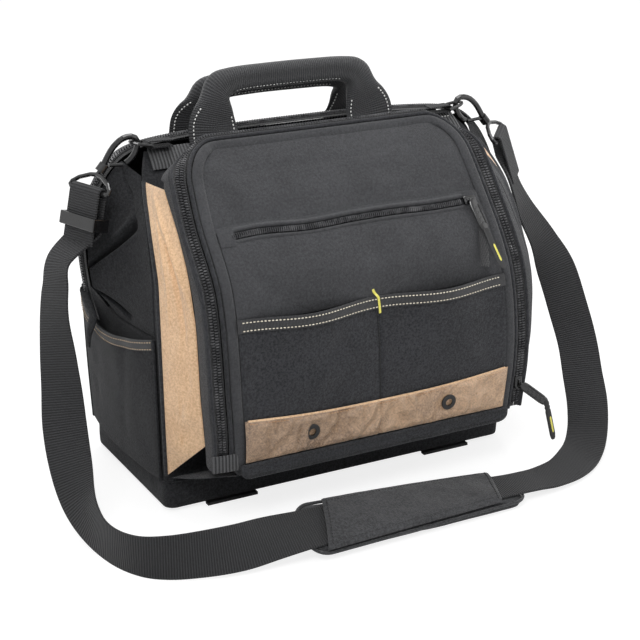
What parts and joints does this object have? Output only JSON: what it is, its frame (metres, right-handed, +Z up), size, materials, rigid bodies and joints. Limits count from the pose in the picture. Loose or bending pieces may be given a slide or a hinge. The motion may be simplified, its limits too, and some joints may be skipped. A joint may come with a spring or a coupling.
{
  "type": "tool carrier",
  "caption": "Soft-sided tool bag with a zipped mouth, fold-down front compartment, two grip handles, end pockets and a padded shoulder strap on snap hooks.",
  "frame": {"origin": "centre of the base tray's underside, between the two foot runners", "axes": "+X to the bag's right seen from the front, +Y towards its rear, +Z up; the door faces -Y"},
  "size_m": [0.5421, 0.3136, 0.3646],
  "materials": {
    "black_fabric": "matt woven polyester",
    "black_webbing": "ribbed webbing",
    "tan_fabric": "satin woven polyester",
    "black_plastic": "moulded",
    "black_enamel": "gloss enamel",
    "black_rubber": "moulded",
    "grey_board": "board"
  },
  "bodies": {
    "carrier": {"front_wall": "black_fabric", "lower_side_left": "black_fabric", "lower_side_right": "black_fabric", "front_gusset_left": "black_fabric", "front_gusset_right": "black_fabric", "side_pocket_left": "black_fabric", "side_pocket_right": "black_fabric", "front_zip_tape": "black_fabric", "frame_zip_tape": "black_fabric", "compartment_gusset": "black_fabric", "compartment_floor": "black_fabric", "inner_divider": "black_fabric", "front_band": "black_webbing", "zip_end_tab_left": "black_webbing", "zip_end_tab_right": "black_webbing", "ring_tab_left": "black_webbing", "ring_tab_right": "black_webbing", "strap_left": "black_webbing", "strap_right": "black_webbing", "tan_gusset_left": "tan_fabric", "tan_gusset_right": "tan_fabric", "base_tray": "black_plastic", "swivel_ring_left": "black_enamel", "swivel_ring_right": "black_enamel", "foot_left": "black_rubber", "foot_right": "black_rubber", "base_board": "grey_board"},
    "rear_half": {"rear_wall": "black_fabric", "rear_gusset_left": "black_fabric", "rear_gusset_right": "black_fabric", "rear_band": "black_webbing", "rear_zip_tape": "black_fabric"},
    "rear_handle": {"rear_handle": "black_webbing"},
    "front_handle": {"front_handle": "black_webbing"},
    "door": {"door_panel": "black_fabric", "door_piping": "black_webbing", "door_zip_tape": "black_fabric", "door_binding": "black_webbing", "kick_strip": "tan_fabric", "zip_pocket": "black_fabric", "zip_pocket_tape": "black_fabric", "tool_pocket": "black_fabric", "pocket_trim": "black_webbing", "eyelet_left": "black_enamel", "eyelet_right": "black_enamel"},
    "pocket_slider": {"pocket_zip_slider": "black_enamel"},
    "pocket_pull": {"pocket_zip_pull": "black_plastic"},
    "door_slider": {"door_zip_slider": "black_enamel"},
    "door_pull": {"door_zip_pull": "black_plastic"},
    "main_slider": {"main_zip_slider": "black_enamel"},
    "main_pull": {"main_zip_pull": "black_plastic"},
    "ring_left": {"d_ring_left": "black_enamel"},
    "ring_right": {"d_ring_right": "black_enamel"},
    "hook_left": {"snap_hook_left": "black_enamel"},
    "hook_right": {"snap_hook_right": "black_enamel"},
    "gate_left": {"hook_gate_left": "black_enamel"},
    "gate_right": {"hook_gate_right": "black_enamel"},
    "adjuster": {"strap_adjuster": "black_plastic"},
    "pad": {"shoulder_pad": "black_fabric", "pad_sleeve": "black_fabric"}
  },
  "joints": [
    {"name": "mouth_opening", "type": "hinge", "parent": "carrier", "child": "rear_half", "pos_m": [0, 0.08563, 0.027], "axis": [-1, 0, 0], "range_deg": [0, 25]},
    {"name": "rear_handle_fold", "type": "hinge", "parent": "rear_half", "child": "rear_handle", "pos_m": [-0.015, 0.0244, 0.2962], "axis": [-1, 0, 0], "range_deg": [0, 95]},
    {"name": "front_handle_fold", "type": "hinge", "parent": "carrier", "child": "front_handle", "pos_m": [-0.015, -0.0244, 0.2962], "axis": [1, 0, 0], "range_deg": [0, 35]},
    {"name": "door_opening", "type": "hinge", "parent": "carrier", "child": "door", "pos_m": [0, -0.13953, 0.046], "axis": [1, 0, 0], "range_deg": [0, 70]},
    {"name": "pocket_slider_run", "type": "slide", "parent": "door", "child": "pocket_slider", "axis": [-1, 0, 0], "range_m": [0, 0.2]},
    {"name": "pocket_pull_swing", "type": "hinge", "parent": "pocket_slider", "child": "pocket_pull", "pos_m": [0.10408, -0.12281, 0.25107], "axis": [-0.9885, -0.0886, -0.1226], "range_deg": [0, 100]},
    {"name": "door_slider_run", "type": "slide", "parent": "door", "child": "door_slider", "axis": [0.01, -0.1, 0.9949], "range_m": [0, 0.05]},
    {"name": "door_pull_swing", "type": "hinge", "parent": "door_slider", "child": "door_pull", "pos_m": [0.14877, -0.14578, 0.0779], "axis": [0.4372, 0.8994, 0], "range_deg": [-50, 10]},
    {"name": "main_slider_run", "type": "slide", "parent": "carrier", "child": "main_slider", "axis": [0.1143, 0, 0.9934], "range_m": [0, 0.03]},
    {"name": "main_pull_swing", "type": "hinge", "parent": "main_slider", "child": "main_pull", "pos_m": [0.21219, 0, 0.19524], "axis": [0, -1, 0], "range_deg": [0, 80]},
    {"name": "ring_swing_left", "type": "hinge", "parent": "carrier", "child": "ring_left", "pos_m": [-0.15, -0.0185, 0.3059], "axis": [0, 1, 0], "range_deg": [-6, 0]},
    {"name": "hook_swivel_left", "type": "hinge", "parent": "carrier", "child": "hook_left", "pos_m": [-0.19311, -0.0185, 0.28935], "axis": [0.6606, 0, 0.7507], "range_deg": [-8, 8]},
    {"name": "gate_opening_left", "type": "hinge", "parent": "hook_left", "child": "gate_left", "pos_m": [-0.18561, -0.0185, 0.29187], "axis": [0, -1, 0], "range_deg": [0, 25], "stiffness_Nm_per_rad": 0.03},
    {"name": "ring_swing_right", "type": "hinge", "parent": "carrier", "child": "ring_right", "pos_m": [0.143, -0.0185, 0.3059], "axis": [0, 1, 0], "range_deg": [0, 6]},
    {"name": "hook_swivel_right", "type": "hinge", "parent": "carrier", "child": "hook_right", "pos_m": [0.18611, -0.0185, 0.28935], "axis": [-0.6606, 0, 0.7507], "range_deg": [-8, 8]},
    {"name": "gate_opening_right", "type": "hinge", "parent": "hook_right", "child": "gate_right", "pos_m": [0.17861, -0.0185, 0.29187], "axis": [0, 1, 0], "range_deg": [0, 25], "stiffness_Nm_per_rad": 0.03},
    {"name": "adjuster_run", "type": "slide", "parent": "carrier", "child": "adjuster", "axis": [-0.2197, -0.0731, -0.9728], "range_m": [-0.004, 0.004]},
    {"name": "pad_run", "type": "slide", "parent": "carrier", "child": "pad", "axis": [1, 0, 0], "range_m": [-0.002, 0.002]}
  ]
}
